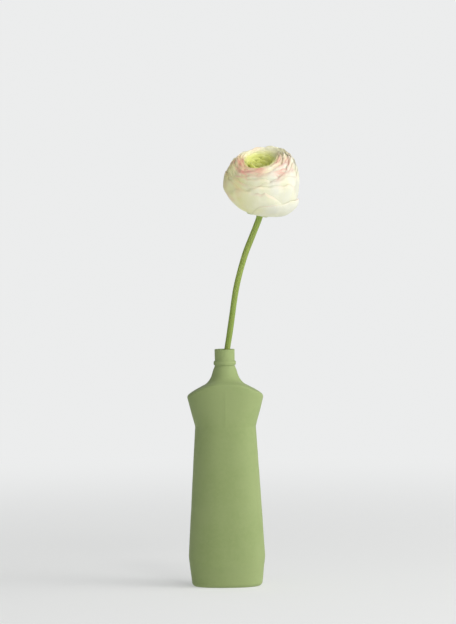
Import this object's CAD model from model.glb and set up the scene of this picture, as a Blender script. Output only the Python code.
"""Looks, light and camera for a slip-cast bud vase that holds one ranunculus. Metres, +Z up, front -Y."""
import math

import bpy
import numpy as np
from mathutils import Matrix, Vector


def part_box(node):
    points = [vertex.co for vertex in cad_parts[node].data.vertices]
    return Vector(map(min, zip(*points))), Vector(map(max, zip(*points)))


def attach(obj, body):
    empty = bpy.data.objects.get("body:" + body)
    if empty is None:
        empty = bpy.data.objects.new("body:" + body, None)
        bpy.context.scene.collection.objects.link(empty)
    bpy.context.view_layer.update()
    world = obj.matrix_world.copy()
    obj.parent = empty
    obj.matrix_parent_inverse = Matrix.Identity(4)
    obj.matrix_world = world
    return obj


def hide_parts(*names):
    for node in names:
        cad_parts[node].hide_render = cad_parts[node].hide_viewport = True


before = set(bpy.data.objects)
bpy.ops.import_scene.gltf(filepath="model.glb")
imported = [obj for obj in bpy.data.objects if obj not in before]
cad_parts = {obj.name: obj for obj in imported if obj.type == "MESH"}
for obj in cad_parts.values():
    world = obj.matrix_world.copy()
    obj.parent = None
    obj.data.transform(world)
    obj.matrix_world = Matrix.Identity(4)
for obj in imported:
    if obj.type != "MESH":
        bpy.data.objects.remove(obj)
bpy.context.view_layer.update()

MM = 0.001

# ---- sizes, in millimetres, in the vase's own frame ----

VASE_H = (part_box("vase_body")[1][2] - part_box("vase_body")[0][2]) / MM
WALL = 3.2
FOOT_RECESS = 1.2
FOOT_RING = 8.0
FOOT_BEVEL = 1.0
FOOT_EDGE_R = 0.6
INNER_FLOOR_R = 2.5
# Half-width of the flat caps that close the skin at the axis.
CAP_R = 1
# The cross-section's power, 2 for an ellipse. It falls to 2 this far below the collar.
SECTION_POWER = 2.3
ROUND_BELOW_COLLAR = 4
SHOULDER_Z = 181.8
COLLAR_Z = 206.0
COLLAR_R = 11.15
NECK_R = 9.5
BORE_R = 6.4
BEAD_R = 10.75
BEAD_Z = VASE_H - 13.1
BEAD_HALF = 2.2
BEAD_FULLNESS = 0.8
GROOVE_R = 9.55
LIP_R = 0.6
# From the collar into the groove under the bead: distance from the axis, height.
COLLAR_TOP = [(10.75, 206.9), (10.35, 207.8), (10.05, 208.7), (9.8, 209.4), (GROOVE_R, 210.0)]

# Corners of the outlines: distance from the axis, height, radius that rounds the corner.
SIDE_LINE = [
    (33.3, 0, 4), (36.4, 28.4, 30), (28.95, 152.4, 7),
    (36.7, SHOULDER_Z, 3.5), (14.1, 194.6, 20), (COLLAR_R, COLLAR_Z, 0),
]
FRONT_LINE = [
    (22, 0, 4), (24.5, 19, 26), (22.5, 152.4, 60),
    (22.5, 193, 3), (14.1, 198, 8), (COLLAR_R, COLLAR_Z, 0),
]

# What the casting left on the skin: slow waves, the mould's seam on the front with a nub at its foot,
# and a right shoulder that stands a little higher than the left.
SLOW_WAVE = 0.10
SHORT_WAVE = 0.04
SEAM_HEIGHT = 0.22
SEAM_HALF_W = 1.6
NUB_HEIGHT = 0.3
NUB_R = 1.4
NUB_X = -0.4
NUB_Z = 154.6
SHOULDER_RISE = 0.5

# The stem's path: straight inside the vase, then bent to the right and forward up to the bloom.
RIM_POINT = np.array([2.45, -2.2, VASE_H])
STEM_SLOPE = np.array([0.13, -0.024, 1.0])
STEM_FOOT_Z = 4.95
STEM_R = 2.75
STEM_TOP_R = 2.9
STEM_FLARE = 0.5
STEM_STRAIGHT_Z = (STEM_FOOT_Z, 60, 115, 170, 215, 228)
STEM_BENT = [
    (4.4, -2.5, 237.7), (6.2, -2.8, 249.2), (7.9, -3.1, 260.6), (9.6, -3.4, 272.1),
    (11.6, -3.8, 283.5), (14.3, -4.4, 295), (17.5, -5.2, 306.4), (21.2, -6.2, 317.9),
    (25.8, -7.6, 329.3), (30.5, -9.7, 340.8), (33.8, -11.9, 349.3),
]

# The bloom: its centre, its lean, and the nested curves that its petals follow.
BLOOM_CENTRE = Vector((37.2, -29, 384)) * MM
BLOOM_LEAN = math.radians(27)
BLOOM_SIDE_LEAN = math.radians(4)
BLOOM_R = 36.0
EYE_R = 7.0
BLOOM_UP = 52.0
EYE_UP = 16.0
BLOOM_DOWN = 31.0
EYE_DOWN = 14.0
RECEPTACLE_R = 3.4
WHORLS = 14
PETALS_PER_WHORL = 6
PETAL_COUNT = WHORLS * PETALS_PER_WHORL
GOLDEN_TURN = math.radians(137.508)

BLOOM_FRAME = (
    Matrix.Translation(BLOOM_CENTRE)
    @ Matrix.Rotation(BLOOM_SIDE_LEAN, 4, "Y")
    @ Matrix.Rotation(BLOOM_LEAN, 4, "X")
)


# ---- mesh helpers ----

def make_piece(name, points, faces, attributes=None, smooth=True):
    """A mesh object from points in millimetres, with float attributes on its points."""
    mesh = bpy.data.meshes.new(name)
    mesh.from_pydata((np.asarray(points) * MM).tolist(), [], faces)
    mesh.validate()
    mesh.update()
    for key, values in (attributes or {}).items():
        layer = mesh.attributes.new(key, "FLOAT", "POINT")
        layer.data.foreach_set("value", np.asarray(values, dtype=np.float32))
    mesh.polygons.foreach_set("use_smooth", [smooth] * len(mesh.polygons))
    piece = bpy.data.objects.new(name, mesh)
    bpy.context.scene.collection.objects.link(piece)
    return piece


def loft_faces(rings, around):
    """Quads between rings of equal length that close on themselves, and a cap at each end."""
    faces = []
    for j in range(rings - 1):
        for i in range(around):
            a = j * around + i
            b = j * around + (i + 1) % around
            faces.append((a, b, b + around, a + around))
    last = (rings - 1) * around
    faces.append(tuple(range(around - 1, -1, -1)))
    faces.append(tuple(range(last, last + around)))
    return faces


def full_turn(steps):
    """Evenly spaced angles of one turn, without the last that is also the first."""
    return np.linspace(0, 2 * math.pi, steps + 1)[:-1]


def unit(v):
    return v / np.linalg.norm(v)


def smooth_step(low, high, x):
    """0 up to low, 1 from high on, and smooth in between. A falling step has low above high."""
    t = np.clip((np.asarray(x, dtype=float) - low) / (high - low), 0, 1)
    return t * t * (3 - 2 * t)


def waves(points, length, seed, count=7):
    """A smooth field of mean 0 and height about 1, whose waves are about length long."""
    source = np.random.default_rng(seed)
    total = np.zeros(len(points))
    for _ in range(count):
        direction = unit(source.normal(size=3)) * 2 * math.pi / (length * source.uniform(0.7, 1.5))
        total += np.sin(points @ direction + source.uniform(0, 2 * math.pi))
    return total / math.sqrt(count)


# ---- the vase ----

ARC_STEPS = 10
SPAN_STEPS = 14
QUARTER_POINTS = 56
AROUND = 4 * QUARTER_POINTS
LIP_STEPS = 7
BORE_STEPS = 8
MIN_CORNER_R = 0.8


def corner(a, p, b, r):
    """Points of the arc of radius r that rounds the corner p between a and b."""
    u, v = unit(a - p), unit(b - p)
    half = math.acos(np.clip(u @ v, -1, 1)) / 2
    centre = p + unit(u + v) * r / math.sin(half)
    start = p + u * r / math.tan(half) - centre
    end = p + v * r / math.tan(half) - centre
    side = 1 if start[0] * end[1] - start[1] * end[0] > 0 else -1
    angles = side * (math.pi - 2 * half) * np.linspace(0, 1, ARC_STEPS + 1)
    return np.stack([
        centre[0] + start[0] * np.cos(angles) - start[1] * np.sin(angles),
        centre[1] + start[0] * np.sin(angles) + start[1] * np.cos(angles),
    ], axis=1)


def rounded(path):
    """The outline with every corner rounded and every straight stretch cut into SPAN_STEPS."""
    xz = [np.array(p[:2], dtype=float) for p in path]
    last = len(path) - 1
    runs = [
        xz[i][None] if i in (0, last) else corner(xz[i - 1], xz[i], xz[i + 1], path[i][2])
        for i in range(last + 1)
    ]
    points = [runs[0]]
    for here, after in zip(runs, runs[1:]):
        steps = np.linspace(0, 1, SPAN_STEPS + 1)[1:-1, None]
        points.append(here[-1] + (after[0] - here[-1]) * steps)
        points.append(after)
    return np.concatenate(points)


def inset(path, d):
    """The outline moved inwards by d."""
    xz = [np.array(p[:2], dtype=float) for p in path]
    last = len(path) - 1
    moved = []
    for i, p in enumerate(path):
        a = unit(xz[max(i, 1)] - xz[max(i, 1) - 1])
        b = unit(xz[min(i, last - 1) + 1] - xz[min(i, last - 1)])
        na, nb = np.array([-a[1], a[0]]), np.array([-b[1], b[0]])
        q = xz[i] + (na + nb) * d / (1 + na @ nb)
        convex = a[0] * b[1] - a[1] * b[0] > 0
        moved.append((q[0], q[1], max(MIN_CORNER_R, p[2] - d) if convex else p[2] + d))
    return moved


def outside(line):
    """The outline from the axis, across the recess under the foot and up to the collar."""
    ring = line[0][0] - FOOT_RING
    foot = [
        (CAP_R, FOOT_RECESS, 0), (ring - FOOT_BEVEL, FOOT_RECESS, FOOT_EDGE_R), (ring, 0, FOOT_EDGE_R),
    ]
    return foot + line


def inside(line):
    """The hollow's outline from the axis, across its floor and up to the bore."""
    cut = inset([(0, 0, 0)] + line, WALL)
    floor_z = WALL + FOOT_RECESS
    foot = [(CAP_R, floor_z, 0), (cut[1][0], floor_z, INNER_FLOOR_R)]
    return foot + cut[2:-1] + [(BORE_R, COLLAR_Z, 0)]


def body_rings(side, front):
    """Oval rings: half-width and height from the side outline, half-depth and height from the front."""
    dense = np.linspace(0, math.pi / 2, 400)
    rings = []
    for (wide, side_z), (deep, front_z) in zip(side, front):
        blend = (side_z - SHOULDER_Z) / (COLLAR_Z - SHOULDER_Z - ROUND_BELOW_COLLAR)
        blend = min(1, max(0, blend))
        e = 2 / (SECTION_POWER + (2 - SECTION_POWER) * blend)
        u, v = np.cos(dense) ** e, np.sin(dense) ** e
        length = np.concatenate([[0], np.cumsum(np.hypot(np.diff(wide * u), np.diff(deep * v)))])
        even = np.linspace(0, length[-1], QUARTER_POINTS + 1)[:-1]
        qu, qv = np.interp(even, length, u), np.interp(even, length, v)
        back = np.linspace(length[-1], 0, QUARTER_POINTS + 1)[:-1]
        ru, rv = np.interp(back, length, u), np.interp(back, length, v)
        x = np.concatenate([qu, -ru, -qu, ru])
        y = np.concatenate([qv, rv, -qv, -rv])
        rings.append(np.stack([wide * x, deep * y, front_z + (side_z - front_z) * x * x], axis=1))
    return rings


def round_rings(profile):
    """Round rings from pairs of distance from the axis and height."""
    turn = full_turn(AROUND)
    return [
        np.stack([r * np.cos(turn), r * np.sin(turn), np.full(AROUND, z)], axis=1)
        for r, z in profile
    ]


def neck_profile():
    """Distance from the axis and height, from above the collar to the bore's lower end."""
    profile = list(COLLAR_TOP)
    for t in np.radians(np.linspace(-90, 90, 17)):
        low = GROOVE_R if t < 0 else NECK_R
        bulge = max(0, math.cos(t)) ** BEAD_FULLNESS
        profile.append((low + (BEAD_R - low) * bulge, BEAD_Z + BEAD_HALF * math.sin(t)))
    profile += [(NECK_R, z) for z in np.linspace(BEAD_Z + BEAD_HALF + 0.5, VASE_H - LIP_R - 0.3, 10)]
    lip_z = VASE_H - LIP_R
    for t in np.radians(np.linspace(0, 90, LIP_STEPS)):
        profile.append((NECK_R - LIP_R + LIP_R * math.cos(t), lip_z + LIP_R * math.sin(t)))
    for t in np.radians(np.linspace(90, 180, LIP_STEPS)):
        profile.append((BORE_R + LIP_R + LIP_R * math.cos(t), lip_z + LIP_R * math.sin(t)))
    profile += [(BORE_R, z) for z in np.linspace(lip_z - 1, COLLAR_Z + 1, BORE_STEPS)]
    return profile


def casting_marks(points, outer):
    """How far each point of the outer skin stands proud."""
    x, y, z = points.T
    front = smooth_step(-6, -14, y)
    seam = np.exp(-np.abs(x) / SEAM_HALF_W) * smooth_step(153, 160, z) * smooth_step(190, 182, z)
    nub = np.exp(-((x - NUB_X) ** 2 + (z - NUB_Z) ** 2) / NUB_R ** 2)
    uneven = SLOW_WAVE * waves(points, 38, seed=5) + SHORT_WAVE * waves(points, 13, seed=6)
    return outer * (uneven * smooth_step(0, 3, z) + front * (SEAM_HEIGHT * seam + NUB_HEIGHT * nub))


def make_vase():
    """The whole casting, outside and inside, as one closed skin."""
    outer = body_rings(rounded(outside(SIDE_LINE)), rounded(outside(FRONT_LINE)))
    neck = round_rings(neck_profile())
    inner = body_rings(rounded(inside(SIDE_LINE)), rounded(inside(FRONT_LINE)))[::-1]
    rings = outer + neck + inner
    points = np.concatenate(rings)
    last_outer = len(outer) + len(neck) - LIP_STEPS - BORE_STEPS
    is_inner = np.repeat(np.arange(len(rings)) > last_outer, AROUND).astype(float)
    # The outward direction of the skin, from the loft itself.
    grid = points.reshape(len(rings), AROUND, 3)
    along = np.gradient(grid, axis=0)
    across = np.roll(grid, -1, axis=1) - np.roll(grid, 1, axis=1)
    normal = np.cross(across, along).reshape(-1, 3)
    normal /= np.maximum(np.linalg.norm(normal, axis=1), 1e-9)[:, None]
    points = points + normal * casting_marks(points, 1 - is_inner)[:, None]
    x, z = points[:, 0], points[:, 2]
    points[:, 2] += SHOULDER_RISE * smooth_step(4, 16, x) * smooth_step(176, 186, z)
    vase = make_piece("vase", points, loft_faces(len(rings), AROUND), {"inside": is_inner})
    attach(vase, "vase")
    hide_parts("vase_body")
    return vase


# ---- the stem ----

def smooth_path(points, step):
    """A smooth curve through the points, with a point about every step."""
    points = np.asarray(points, dtype=float)
    padded = np.vstack([2 * points[0] - points[1], points, 2 * points[-1] - points[-2]])
    out = []
    for p0, p1, p2, p3 in zip(padded, padded[1:], padded[2:], padded[3:]):
        count = max(2, int(np.linalg.norm(p2 - p1) / step))
        t = np.linspace(0, 1, count + 1)[:-1, None]
        out.append(0.5 * (
            2 * p1 + (p2 - p0) * t + (2 * p0 - 5 * p1 + 4 * p2 - p3) * t ** 2
            + (3 * p1 - p0 - 3 * p2 + p3) * t ** 3
        ))
    return np.vstack(out + [points[-1:]])


STEM_SIDES = 36
STEM_STEP = 1.5
STEM_RIDGES = 9
STEM_RIDGE = 0.05


def make_stem():
    """A slightly ribbed stem that swells under the bloom and is cut straight at its foot."""
    straight = [RIM_POINT + STEM_SLOPE * (z - VASE_H) for z in STEM_STRAIGHT_Z]
    axis = BLOOM_FRAME.to_3x3() @ Vector((0, 0, 1))
    end = np.array(BLOOM_CENTRE) / MM - (BLOOM_DOWN + 2) * np.array(axis)
    path = smooth_path(straight + [np.array(p) for p in STEM_BENT] + [end], STEM_STEP)
    run = np.concatenate([[0], np.cumsum(np.linalg.norm(np.diff(path, axis=0), axis=1))])
    turn = full_turn(STEM_SIDES)
    rings = []
    for i, centre in enumerate(path):
        ahead = unit(path[min(i + 1, len(path) - 1)] - path[max(i - 1, 0)])
        side = unit(np.cross([0, 1, 0], ahead))
        front = np.cross(ahead, side)
        share = run[i] / run[-1]
        radius = STEM_R + (STEM_TOP_R - STEM_R) * smooth_step(0.6, 1, share)
        radius += STEM_FLARE * smooth_step(0.985, 1, share)
        ridge = STEM_RIDGE * np.cos(STEM_RIDGES * turn + 1.2 * math.sin(run[i] / 37))
        swell = 0.05 * math.sin(run[i] / 17) + 0.04 * math.sin(run[i] / 6.3 + 1)
        r = (radius + swell * smooth_step(0.6, 0.7, share) + ridge)[:, None]
        rings.append(centre + r * (np.cos(turn)[:, None] * side + np.sin(turn)[:, None] * front))
    stem = make_piece("cut_stem", np.concatenate(rings), loft_faces(len(rings), STEM_SIDES), {
        "along": np.repeat(run / run[-1], STEM_SIDES),
        "around": np.tile(turn / (2 * math.pi), len(rings)),
    })
    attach(stem, "flower")
    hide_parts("stem")
    return stem


# ---- the bloom ----

PETAL_ACROSS = 41
PETAL_ALONG = 24
PETAL_THICKNESS = 0.65
PETAL_EXTRA = 0.25
MARGIN_THICKNESS = 0.25
MARGIN_W = 1.8
# How far a margin leans onto the petal below it at its corners, and over what distance.
HUG = 1.2
HUG_REACH = 3.0
# An edge's unevenness and the depth of its notch, as angles. Both grow from the eye to the outside.
EDGE_UNEVEN = 0.011
NOTCH_DEPTH = 0.022
# The first and last whorl that carry in-between petals as well, and the seeds of both kinds of petal.
FULL_WHORLS = (3, 12)
PETAL_SEED = 100
BETWEEN_SEED = 300

# A petal's place in the bloom is its share: 0 is the innermost petal and 1 the outermost.
# Height angle of the edges, in degrees. The innermost petals are short and leave a well, the next ones
# form its rim, and the guard petals stop lower and lower.
EDGE_SHARES = [0, 0.10, 0.15, 0.19, 0.45, 0.65, 0.76, 0.84, 0.90, 0.94, 1]
EDGE_ANGLES = [38, 36, 38, 44, 41.5, 37.5, 34, 29, 21, 14, 5]
# How far round a petal reaches on either side of its middle, in degrees.
HALF_TURN_SHARES = [0, 0.5, 1]
HALF_TURNS = [70, 74, 60]
# The power that closes a petal over the ones inside it: low stands upright, and 1 follows the curve.
CLOSING_SHARES = [0.15, 0.3, 0.45, 0.6]
CLOSINGS = [0.35, 0.4, 0.75, 1]
CURLED_CLOSING = 1.3
# A few petals whose edges stand at a height of their own: those that curl up in the well, and the guards.
OWN_ANGLES = {1: 55, 4: 58, 7: 48, 9: 50, 12: 50, 75: 15.5, 78: 14, 80: 10, 81: 6, 82: 8, 83: -12}
# Two front petals whose edges stand a little off the petals below, in millimetres.
OWN_LIFTS = {78: 0.9, 75: 0.6}
# The two outermost petals, turned from their places in the spiral, in degrees.
OWN_TURNS = {81: -85, 83: 55}

# How the bloom grew lopsided: the eye's shift, its rim's slope, its drop all round and in front, the
# narrow foot, the fuller belly on the right, and how far both flanks stand further right.
EYE_SHIFT = -6.0
RIM_SLOPE = 0.19
RIM_DROP = 0.3
FRONT_DROP = 3.0
FOOT_NARROWING = 0.07
BELLY_OUT = 4.5
BELLY_DOWN = 4.0
FLANK_SHIFT = 2.2


# The nested curve that a petal follows: its radius, its height over the centre and its depth below.

def curve_r(share):
    return EYE_R + (BLOOM_R - EYE_R) * share


def curve_up(share):
    return EYE_UP + (BLOOM_UP - EYE_UP) * np.sqrt(share)


def curve_down(share):
    return EYE_DOWN + (BLOOM_DOWN - EYE_DOWN) * share


def petal_grid(number, seed):
    """One petal's face, row by row from claw to edge: its points, its thickness and its tones."""
    share = (number + 1) / PETAL_COUNT
    source = np.random.default_rng(seed + int(number))
    phase = source.uniform(0, 2 * math.pi, 5)
    u, v = np.meshgrid(np.linspace(-1, 1, PETAL_ACROSS), np.linspace(0, 1, PETAL_ALONG))
    radius = curve_r(share)
    claw = -math.acos((RECEPTACLE_R + 0.1) / radius)
    tip = math.radians(OWN_ANGLES.get(number, np.interp(share, EDGE_SHARES, EDGE_ANGLES)))
    tip += math.radians(source.uniform(-1.6, 1.6)) * smooth_step(0.15, 0.4, share)
    # The edge: broad and nearly level, falling away at its corners, a little uneven, with one notch.
    uneven = np.sin(6 * u + phase[0]) + 0.6 * np.sin(13 * u + phase[1]) + 0.4 * np.sin(29 * u + phase[2])
    notch = np.exp(-((u - source.uniform(-0.5, 0.5)) / 0.05) ** 2)
    fall = 1 - np.sqrt(1 - np.abs(u) ** 3.2)
    edge = tip - (tip - claw) * 0.5 * fall
    edge = edge + (EDGE_UNEVEN * uneven - NOTCH_DEPTH * notch) * (0.4 + share)
    height = claw + (edge - claw) * v
    # The width: a narrow claw that opens into the blade.
    half_turn = math.radians(np.interp(share, HALF_TURN_SHARES, HALF_TURNS))
    spread = 0.16 + 0.84 * smooth_step(0, 0.45, v) - 0.06 * smooth_step(0.7, 1, v)
    turn = number * GOLDEN_TURN + math.radians(OWN_TURNS.get(number, 0)) + half_turn * spread * u
    # The inner petals stand upright, the outer ones close over them.
    closing = np.interp(share, CLOSING_SHARES, CLOSINGS)
    if number in OWN_ANGLES and share < 0.5:
        closing = CURLED_CLOSING
    r = radius * np.where(height > 0, np.cos(height) ** closing, np.cos(height))
    # Away from the nested curve: the edge ripples a little and hugs the petals below.
    to_tip = (1 - v) * (edge - claw) * radius
    to_side = (1 - np.abs(u)) * half_turn * radius * spread
    to_edge = np.maximum(np.minimum(to_tip, to_side), 0)
    hug = HUG * (0.35 + 0.65 * smooth_step(0.3, 0.9, np.abs(u))) * np.exp(-to_edge / HUG_REACH)
    hug = hug * smooth_step(0.15, 0.4, share)
    ripple = np.sin(7 * u + phase[3]) + 0.5 * np.sin(15 * u + phase[4])
    lift = OWN_LIFTS.get(number, source.uniform(0, 0.25))
    r = r + lift * v ** 5 + (0.08 + 0.1 * share) * ripple * v ** 7 - hug
    z = np.where(height < 0, curve_down(share), curve_up(share)) * np.sin(height)
    points = np.stack([r * np.cos(turn), r * np.sin(turn), z], axis=2).reshape(-1, 3)
    points = as_grown(points, share, smooth_step(0, 0.3, v.ravel()))
    to_edge = to_edge.ravel()
    body = PETAL_THICKNESS + PETAL_EXTRA * smooth_step(0.15, 0.3, share) * smooth_step(0.95, 0.85, share)
    thickness = MARGIN_THICKNESS + (body - MARGIN_THICKNESS) * smooth_step(0, MARGIN_W, to_edge)
    luck = source.uniform(0, 1)
    return points, thickness, petal_tones(points, share, v.ravel(), u.ravel(), to_edge, luck)


def as_grown(points, share, part):
    """Waves that all petals share, so that they stay nested, and the bloom's lopsided shape."""
    swell = 0.55 * waves(points, 34, seed=21) + 0.28 * waves(points, 14, seed=22)
    swell = (0.25 + 0.75 * share) * swell
    out = points / np.linalg.norm(points, axis=1)[:, None]
    return lopsided(points + out * (swell * part)[:, None])


def lopsided(points):
    """The bloom as it grew: the eye to the left, its rim higher on the right, the belly fuller there."""
    x, y, z = points.T
    eye = smooth_step(4, 24, z) * np.exp(-(x ** 2 + y ** 2) / 20 ** 2)
    tilt = RIM_SLOPE * np.clip(x - 4, -20, 20) - RIM_DROP - FRONT_DROP * smooth_step(2, -14, y)
    tilt = tilt * smooth_step(6, 28, z)
    belly = smooth_step(-2, 24, x) * smooth_step(2, -22, z)
    left = smooth_step(-8, -30, x) * np.exp(-((z + 7) / 9) ** 2)
    right = smooth_step(8, 30, x) * np.exp(-((z - 8) / 9) ** 2)
    x = x * (1 - FOOT_NARROWING * smooth_step(-14, -26, z)) + EYE_SHIFT * eye
    x = x + BELLY_OUT * belly + FLANK_SHIFT * (right - left)
    return np.stack([x, y, z + tilt - BELLY_DOWN * belly], axis=1)


def petal_tones(points, share, along, across, to_edge, luck):
    """How green, pink and warm each point is, and where on its petal it lies."""
    x, y, z = points.T
    front = np.maximum(smooth_step(14, -14, y), smooth_step(4, -16, x) * smooth_step(16, 2, y))
    green = smooth_step(0.60, 0.20, share) * (1 - 0.25 * smooth_step(0.75, 1, along))
    green = np.maximum(green, 0.45 * smooth_step(0.75, 0.3, along) * smooth_step(1.1, 0.6, share))
    patches = smooth_step(-0.7, 0.8, waves(points, 26, seed=31))
    rim = smooth_step(0.34, 0.46, share) * (1 - 0.55 * smooth_step(0.82, 0.9, share))
    pink = 0.78 * np.exp(-to_edge / (0.3 + 0.3 * luck)) * rim
    pink = pink * (0.3 + 0.7 * patches) * (0.3 + 0.7 * front)
    pink *= 0.5 + 0.5 * smooth_step(0.2, 0.6, luck)
    pink += 0.22 * smooth_step(-12, -32, x) * smooth_step(-0.5, 0.9, waves(points, 17, seed=35))
    warm = 0.8 * smooth_step(18, -34, x + 0.3 * z) + 0.2 * smooth_step(-1, 1, waves(points, 18, seed=33))
    return {
        "along": along, "across": across, "share": np.full_like(along, share),
        "green": green, "pink": pink, "warm": warm,
    }


def thin_shell(points, rows, columns, thickness):
    """A closed thin body from a grid of points: the face, a copy set back from it, and the rim."""
    grid = points.reshape(rows, columns, 3)
    normal = np.cross(np.gradient(grid, axis=1), np.gradient(grid, axis=0)).reshape(-1, 3)
    normal /= np.maximum(np.linalg.norm(normal, axis=1), 1e-9)[:, None]
    back = points - normal * thickness[:, None]
    count = rows * columns
    faces = []
    for j in range(rows - 1):
        for i in range(columns - 1):
            a = j * columns + i
            faces.append((a, a + 1, a + columns + 1, a + columns))
            faces.append((count + a, count + a + columns, count + a + columns + 1, count + a + 1))
    loop = (
        list(range(columns))
        + [j * columns + columns - 1 for j in range(1, rows)]
        + [(rows - 1) * columns + i for i in range(columns - 2, -1, -1)]
        + [j * columns for j in range(rows - 2, 0, -1)]
    )
    for a, b in zip(loop, loop[1:] + loop[:1]):
        faces.append((b, a, count + a, count + b))
    return np.vstack([points, back]), faces


def to_world(points):
    """Points in the bloom's frame, in millimetres, as millimetres in the vase's frame."""
    matrix = np.array(BLOOM_FRAME)
    return points @ matrix[:3, :3].T + matrix[:3, 3] / MM


def join_shells(shells):
    """Points in the vase's frame and faces of several thin shells, numbered as one mesh."""
    all_points = []
    all_faces = []
    first = 0
    for points, faces in shells:
        all_points.append(to_world(points))
        all_faces += [tuple(first + i for i in face) for face in faces]
        first += len(points)
    return np.vstack(all_points), all_faces


def make_whorl(number):
    """The petals of one whorl, joined as one piece."""
    first = number * PETALS_PER_WHORL
    petals = [(petal, PETAL_SEED) for petal in range(first, first + PETALS_PER_WHORL)]
    if FULL_WHORLS[0] <= number <= FULL_WHORLS[1]:
        petals += [(petal + 0.5, BETWEEN_SEED) for petal, _ in petals]
    shells = []
    all_tones = []
    for petal, seed in petals:
        face, thickness, face_tones = petal_grid(petal, seed)
        shells.append(thin_shell(face, PETAL_ALONG, PETAL_ACROSS, thickness))
        tones = {key: np.tile(value, 2) for key, value in face_tones.items()}
        tones["inner"] = np.repeat([0.0, 1.0], len(face)) * smooth_step(0.3, 0.5, tones["share"])
        all_tones.append(tones)
    merged = {key: np.concatenate([tones[key] for tones in all_tones]) for key in all_tones[0]}
    whorl = make_piece(f"whorl_{number + 1:02d}", *join_shells(shells), merged)
    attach(whorl, "flower")
    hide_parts(f"petals_whorl_{number + 1:02d}")
    return whorl


# The sepals lie just outside the outermost petal, in three lengths.
SEPALS = 5
SEPAL_SHARE = 1.03
SEPAL_LENGTH = 13.0
SEPAL_SHORTER = 0.9
SEPAL_W = 7.0
SEPAL_THICKNESS = 0.6
SEPAL_ACROSS = 13
SEPAL_ALONG = 20


def make_sepals():
    """Small pointed leaves, folded back against the outer petals."""
    shells = []
    u, v = np.meshgrid(np.linspace(-1, 1, SEPAL_ACROSS), np.linspace(0.03, 1, SEPAL_ALONG))
    radius = curve_r(SEPAL_SHARE)
    for k in range(SEPALS):
        out = RECEPTACLE_R + (SEPAL_LENGTH - SEPAL_SHORTER * (k % 3)) * v
        side = u * (SEPAL_W / 2 * np.sin(math.pi * v ** 0.9) ** 0.75 + 0.15)
        turn = 2 * math.pi * k / SEPALS + np.arctan2(side, out)
        away = np.hypot(side, out)
        height = -np.arccos(away / radius)
        away = away + 0.25 * u ** 2
        z = curve_down(SEPAL_SHARE) * np.sin(height)
        face = np.stack([away * np.cos(turn), away * np.sin(turn), z], axis=2).reshape(-1, 3)
        face = as_grown(face, 1, smooth_step(-84, -57, np.degrees(height.ravel())))
        thickness = SEPAL_THICKNESS * (0.4 + 0.6 * (1 - np.abs(u.ravel())))
        shells.append(thin_shell(face, SEPAL_ALONG, SEPAL_ACROSS, thickness))
    sepals = make_piece("folded_sepals", *join_shells(shells))
    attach(sepals, "flower")
    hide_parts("sepals")
    return sepals


# ---- materials ----

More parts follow.
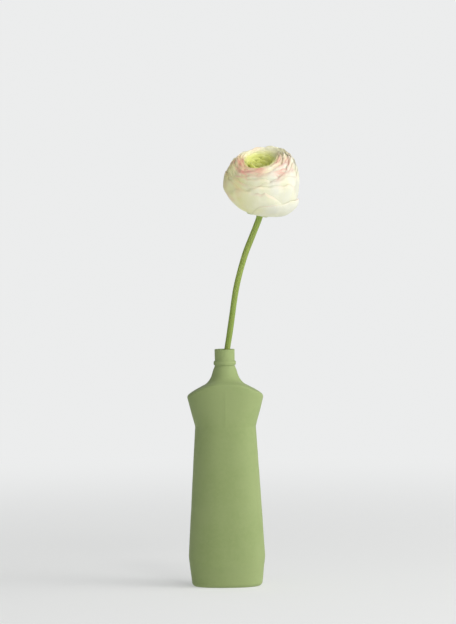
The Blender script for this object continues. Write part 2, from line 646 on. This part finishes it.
class Shader:
    """One material's nodes. Most methods add a node and return its output."""

    def __init__(self, name):
        self.material = bpy.data.materials.new(name)
        self.material.use_nodes = True
        self.tree = self.material.node_tree
        self.tree.nodes.clear()
        self.output = self.tree.nodes.new("ShaderNodeOutputMaterial")
        self.surface = self.tree.nodes.new("ShaderNodeBsdfPrincipled")
        self.tree.links.new(self.surface.outputs["BSDF"], self.output.inputs["Surface"])

    def put(self, node, socket, value):
        if isinstance(value, bpy.types.NodeSocket):
            self.tree.links.new(value, node.inputs[socket])
        else:
            node.inputs[socket].default_value = value

    def set(self, **values):
        for key, value in values.items():
            self.put(self.surface, key.replace("_", " "), value)

    def object_point(self):
        return self.tree.nodes.new("ShaderNodeTexCoord").outputs["Object"]

    def attribute(self, name):
        node = self.tree.nodes.new("ShaderNodeAttribute")
        node.attribute_name = name
        return node.outputs["Fac"]

    def length(self, point):
        node = self.tree.nodes.new("ShaderNodeVectorMath")
        node.operation = "LENGTH"
        self.put(node, 0, point)
        return node.outputs["Value"]

    def combine(self, x, y, z):
        node = self.tree.nodes.new("ShaderNodeCombineXYZ")
        for socket, value in zip("XYZ", (x, y, z)):
            self.put(node, socket, value)
        return node.outputs["Vector"]

    def noise(self, point, scale, detail, roughness):
        node = self.tree.nodes.new("ShaderNodeTexNoise")
        self.put(node, "Vector", point)
        self.put(node, "Scale", scale)
        self.put(node, "Detail", detail)
        self.put(node, "Roughness", roughness)
        return node.outputs["Fac"]

    def maths(self, operation, a, b=0.0, clamp=False):
        node = self.tree.nodes.new("ShaderNodeMath")
        node.operation = operation
        node.use_clamp = clamp
        self.put(node, 0, a)
        self.put(node, 1, b)
        return node.outputs[0]

    def remap(self, value, low, high, to_low=0.0, to_high=1.0, kind="SMOOTHSTEP"):
        node = self.tree.nodes.new("ShaderNodeMapRange")
        node.interpolation_type = kind
        self.put(node, "Value", value)
        self.put(node, "From Min", low)
        self.put(node, "From Max", high)
        self.put(node, "To Min", to_low)
        self.put(node, "To Max", to_high)
        return node.outputs["Result"]

    def mix(self, share, a, b):
        node = self.tree.nodes.new("ShaderNodeMix")
        node.data_type = "RGBA"
        self.put(node, 0, share)
        self.put(node, 6, a if isinstance(a, bpy.types.NodeSocket) else (*a, 1))
        self.put(node, 7, b if isinstance(b, bpy.types.NodeSocket) else (*b, 1))
        return node.outputs[2]

    def add_glow(self, share, colour, strength):
        """Mixes this share of plain light into the surface."""
        light = self.tree.nodes.new("ShaderNodeEmission")
        self.put(light, "Color", (*colour, 1))
        self.put(light, "Strength", strength)
        mix = self.tree.nodes.new("ShaderNodeMixShader")
        self.put(mix, "Fac", share)
        self.tree.links.new(self.surface.outputs["BSDF"], mix.inputs[1])
        self.tree.links.new(light.outputs["Emission"], mix.inputs[2])
        self.tree.links.new(mix.outputs["Shader"], self.output.inputs["Surface"])

    def bump(self, height, distance, strength):
        node = self.tree.nodes.new("ShaderNodeBump")
        self.put(node, "Height", height)
        self.put(node, "Distance", distance)
        self.put(node, "Strength", strength)
        return node.outputs["Normal"]


def porcelain():
    """Unglazed coloured porcelain, chalky and slightly clouded, with a clear glaze inside."""
    sage, pale_sage, chalk = (0.275, 0.352, 0.130), (0.302, 0.376, 0.150), (0.320, 0.392, 0.165)
    fleck, glaze, pale_glaze = (0.20, 0.27, 0.10), (0.20, 0.29, 0.085), (0.24, 0.33, 0.11)
    s = Shader("porcelain")
    point = s.object_point()
    inside = s.attribute("inside")
    cloud = s.noise(point, 28, 3, 0.55)
    fine = s.noise(point, 260, 4, 0.6)
    grain = s.noise(point, 1900, 2, 0.5)
    green = s.mix(s.remap(cloud, 0.35, 0.65), sage, pale_sage)
    green = s.mix(s.remap(fine, 0.35, 0.7, 0.0, 0.5), green, chalk)
    specks = s.remap(s.noise(point, 900, 1, 0.5), 0.68, 0.74, 0.0, 0.25)
    green = s.mix(specks, green, fleck)
    colour = s.mix(inside, green, s.mix(s.remap(cloud, 0.3, 0.7), glaze, pale_glaze))
    matt = s.remap(fine, 0.3, 0.7, 0.66, 0.8)
    rough = s.maths("SUBTRACT", matt, s.maths("MULTIPLY", inside, 0.55))
    height = s.maths("ADD", s.maths("MULTIPLY", grain, 0.5), fine)
    s.set(Base_Color=colour, Roughness=rough, IOR=1.45, Sheen_Weight=0.08, Sheen_Roughness=0.5)
    s.set(Normal=s.bump(height, 0.00005, 0.6))
    return s.material


def stem_skin():
    """Satin green skin with lengthwise fibres and paler patches, fresher on top and pale at the cut."""
    dark, light, worn = (0.190, 0.272, 0.040), (0.243, 0.325, 0.063), (0.275, 0.332, 0.073)
    fresh, cut = (0.25, 0.36, 0.066), (0.46, 0.47, 0.24)
    s = Shader("stem_skin")
    along = s.attribute("along")
    around = s.attribute("around")
    lengthwise = s.combine(s.maths("MULTIPLY", around, 46), s.maths("MULTIPLY", along, 26), 0.0)
    fibre = s.noise(lengthwise, 1.0, 3, 0.6)
    patch = s.noise(s.object_point(), 55, 3, 0.5)
    green = s.mix(s.remap(fibre, 0.35, 0.65), dark, light)
    green = s.mix(s.remap(patch, 0.35, 0.65, 0.0, 0.5), green, worn)
    green = s.mix(s.remap(along, 0.9, 1.0, 0.0, 0.35), green, fresh)
    green = s.mix(s.remap(along, 0.012, 0.0), green, cut)
    s.set(Base_Color=green, Roughness=s.remap(fibre, 0.3, 0.7, 0.42, 0.56), IOR=1.4)
    s.set(Subsurface_Weight=0.12, Subsurface_Radius=(0.9, 1.0, 0.3), Subsurface_Scale=0.001)
    s.set(Normal=s.bump(fibre, 0.00012, 0.7))
    return s.material


def petal_skin(name, cream, warm_cream):
    """Thin satin petal: cream, warmer on the bloom's left, green in the eye and pink on the margins."""
    inner_face, eye_base, eye_edge = (0.95, 0.94, 0.76), (0.56, 0.66, 0.05), (0.70, 0.73, 0.19)
    vein, milk = (0.70, 0.71, 0.32), (0.93, 0.91, 0.74)
    olive, blush = (0.76, 0.78, 0.34), (0.78, 0.32, 0.28)
    s = Shader(name)
    along = s.attribute("along")
    across = s.attribute("across")
    share = s.attribute("share")
    fan = s.combine(
        s.maths("MULTIPLY", across, 46), s.maths("MULTIPLY", along, 2.4), s.maths("MULTIPLY", share, 97),
    )
    veins = s.noise(fan, 1.0, 3, 0.6)
    patch = s.noise(s.object_point(), 110, 3, 0.55)
    low = s.remap(along, 0.75, 0.35)
    colour = s.mix(s.attribute("warm"), cream, warm_cream)
    colour = s.mix(s.maths("MULTIPLY", s.attribute("inner"), 0.8), colour, inner_face)
    eye = s.mix(s.remap(along, 0.3, 1.0), eye_base, eye_edge)
    colour = s.mix(s.attribute("green"), colour, eye)
    colour = s.mix(s.remap(veins, 0.4, 0.8, 0.0, 0.22), colour, vein)
    colour = s.mix(s.remap(patch, 0.45, 0.75, 0.0, 0.25), colour, milk)
    stain = s.remap(s.noise(s.object_point(), 62, 2, 0.5), 0.47, 0.64, 0.0, 0.65)
    colour = s.mix(s.maths("MULTIPLY", stain, low), colour, olive)
    pink = s.maths("MULTIPLY", s.attribute("pink"), s.remap(patch, 0.3, 0.6, 0.55, 1.15), True)
    colour = s.mix(pink, colour, blush)
    s.set(Base_Color=colour, Roughness=s.remap(veins, 0.3, 0.7, 0.48, 0.64), IOR=1.38)
    s.set(Subsurface_Weight=0.35, Subsurface_Radius=(1.0, 1.0, 1.0), Subsurface_Scale=0.0007)
    s.set(Sheen_Weight=0.12, Sheen_Roughness=0.4, Normal=s.bump(veins, 0.00008, 0.5))
    return s.material


def soft_green(name, dark, light):
    """Matt plant skin for the small green parts under and inside the bloom."""
    s = Shader(name)
    point = s.object_point()
    patch = s.noise(point, 240, 3, 0.55)
    fine = s.noise(point, 1500, 2, 0.5)
    green = s.mix(s.remap(patch, 0.35, 0.65), dark, light)
    s.set(Base_Color=green, Roughness=s.remap(fine, 0.3, 0.7, 0.5, 0.65))
    s.set(Normal=s.bump(fine, 0.0001, 0.6))
    return s.material


def paint(piece, material):
    """Gives a piece made here its one material."""
    piece.data.materials.clear()
    piece.data.materials.append(material)


def keep_node(node, material):
    """A CAD node that stays as it is, with a better material."""
    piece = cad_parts[node]
    for slot in piece.material_slots:
        slot.material = material


# ---- the studio ----

FLOOR_R = 9.0
FLOOR_STEPS = 96
DOME_R = 1.02 * FLOOR_R
FLOOR_COLOUR = (0.94, 0.94, 0.935)
BACKDROP = (0.838, 0.845, 0.845)
# The floor's share of plain light: low where the vase touches it, then this much all round the vase.
CONTACT_GLOW = 0.42
FLOOR_GLOW = 0.47
CONTACT_NEAR = 0.03
CONTACT_FAR = 0.12
# Beyond FADE_NEAR the floor turns into the backdrop's own tone, from this strength of its light.
FLOOR_LIFT = 1.05
FADE_NEAR = 0.25
FADE_FAR = 1.5


def backdrop_material():
    """Plain light of one tone, as the far wall of the studio."""
    material = bpy.data.materials.new("backdrop")
    material.use_nodes = True
    tree = material.node_tree
    tree.nodes.clear()
    output = tree.nodes.new("ShaderNodeOutputMaterial")
    light = tree.nodes.new("ShaderNodeEmission")
    light.inputs["Color"].default_value = (*BACKDROP, 1)
    tree.links.new(light.outputs["Emission"], output.inputs["Surface"])
    return material


def floor_material():
    """Pale paper near the vase that fades into the backdrop's own tone far away."""
    s = Shader("floor")
    distance = s.length(s.object_point())
    s.set(Base_Color=(*FLOOR_COLOUR, 1), Roughness=0.9, Specular_IOR_Level=0.2)
    contact = s.remap(distance, CONTACT_NEAR, CONTACT_FAR, CONTACT_GLOW, FLOOR_GLOW, "LINEAR")
    share = s.remap(distance, FADE_NEAR, FADE_FAR, contact, 1.0)
    strength = s.remap(distance, FADE_NEAR, FADE_FAR, FLOOR_LIFT, 1.0)
    s.add_glow(share, BACKDROP, strength)
    return s.material


def make_studio():
    """The floor, and a dome that only the camera sees."""
    turn = full_turn(FLOOR_STEPS)
    disc = np.stack([np.cos(turn), np.sin(turn), np.zeros(FLOOR_STEPS)], axis=1) * FLOOR_R / MM
    floor = make_piece("floor", disc, [tuple(range(FLOOR_STEPS))], smooth=False)
    paint(floor, floor_material())
    bpy.ops.mesh.primitive_uv_sphere_add(segments=64, ring_count=32, radius=DOME_R)
    dome = bpy.context.object
    dome.name = "backdrop"
    paint(dome, backdrop_material())
    for flag in ("visible_diffuse", "visible_glossy", "visible_transmission", "visible_shadow"):
        setattr(dome, flag, False)


WORLD_COLOUR = (0.95, 0.98, 0.98, 1)
WORLD_STRENGTH = 0.27
LAMP_AIM = Vector((0, 0, 0.2))
# Name, place, width in metres, power in watts and colour of each soft lamp.
LAMPS = [
    ("key", (0.9, -2.1, 2.3), 0.7, 14, (1.0, 1.0, 0.96)),
    ("top", (1.5, -0.6, 2.0), 1.1, 11, (1.0, 1.0, 0.98)),
    ("side", (1.95, -1.4, 0.9), 2.6, 31, (1.0, 0.985, 0.96)),
    ("edge", (2.3, -0.2, 0.9), 2.2, 19, (1.0, 1.0, 1.0)),
]
# Name, place and power of the soft narrow beams on the bloom alone, as off a card.
BEAMS = [
    ("low_card", (-0.8, -1.5, 0.1), 18),
    ("front_card", (-0.35, -1.9, 0.4), 165),
]
BEAM_ANGLE = math.radians(5)
BEAM_BLEND = 0.8
BEAM_SOFTNESS = 0.15


def place_light(name, data, place, aim):
    light = bpy.data.objects.new(name, data)
    light.location = place
    light.rotation_euler = (aim - Vector(place)).to_track_quat("-Z", "Y").to_euler()
    bpy.context.scene.collection.objects.link(light)
    return light


def add_lamp(name, place, width, power, colour):
    data = bpy.data.lights.new(name, "AREA")
    data.shape = "DISK"
    data.size = width
    data.energy = power
    data.color = colour
    place_light(name, data, place, LAMP_AIM).visible_camera = False


def add_beam(name, place, power):
    data = bpy.data.lights.new(name, "SPOT")
    data.energy = power
    data.spot_size = BEAM_ANGLE
    data.spot_blend = BEAM_BLEND
    data.shadow_soft_size = BEAM_SOFTNESS
    place_light(name, data, place, BLOOM_CENTRE)


def make_light():
    """A pale sky, four soft lamps from the right and front, and two beams that lift the bloom."""
    world = bpy.data.worlds.new("studio")
    bpy.context.scene.world = world
    world.use_nodes = True
    sky = world.node_tree.nodes["Background"]
    sky.inputs["Color"].default_value = WORLD_COLOUR
    sky.inputs["Strength"].default_value = WORLD_STRENGTH
    for beam in BEAMS:
        add_beam(*beam)
    for lamp in LAMPS:
        add_lamp(*lamp)
    bpy.context.scene.view_settings.view_transform = "Standard"


CAMERA_DISTANCE = 3.0
CAMERA_HEIGHT = 0.368
CAMERA_AIM = Vector((0.0036, 0, 0.261))
CAMERA_ROLL = math.radians(-0.65)
FRAMED_HEIGHT = 0.5934
SENSOR = 24.0


def make_camera():
    """A long lens, level with the stem, at the photograph's viewing angle."""
    data = bpy.data.cameras.new("camera")
    data.sensor_fit = "VERTICAL"
    data.sensor_height = SENSOR
    place = Vector((0, -CAMERA_DISTANCE, CAMERA_HEIGHT))
    aim = CAMERA_AIM - place
    data.lens = SENSOR * aim.length / FRAMED_HEIGHT
    data.clip_end = 40
    camera = bpy.data.objects.new("camera", data)
    look = aim.to_track_quat("-Z", "Y").to_matrix().to_4x4()
    camera.matrix_world = Matrix.Translation(place) @ look @ Matrix.Rotation(CAMERA_ROLL, 4, "Z")
    bpy.context.scene.collection.objects.link(camera)
    bpy.context.scene.camera = camera


# ---- put together ----

make_camera()
make_light()
make_studio()

paint(make_vase(), porcelain())
paint(make_stem(), stem_skin())

# The bloom's three skins: slot, first and last whorl, cool cream and warm cream.
SKINS = [
    ("petal_green", 0, 3, (0.82, 0.82, 0.46), (0.78, 0.76, 0.34)),
    ("petal_blush", 4, 9, (0.88, 0.86, 0.66), (0.84, 0.78, 0.41)),
    ("petal_cream", 10, WHORLS - 1, (0.695, 0.695, 0.60), (0.76, 0.735, 0.35)),
]
for skin_slot, first_whorl, last_whorl, cool, warm in SKINS:
    skin = petal_skin(skin_slot, cool, warm)
    for whorl_number in range(first_whorl, last_whorl + 1):
        paint(make_whorl(whorl_number), skin)

keep_node("receptacle", soft_green("receptacle", (0.34, 0.42, 0.12), (0.44, 0.52, 0.18)))
keep_node("carpels", soft_green("carpels", (0.26, 0.38, 0.06), (0.36, 0.48, 0.10)))
paint(make_sepals(), soft_green("sepals", (0.42, 0.50, 0.20), (0.52, 0.58, 0.28)))
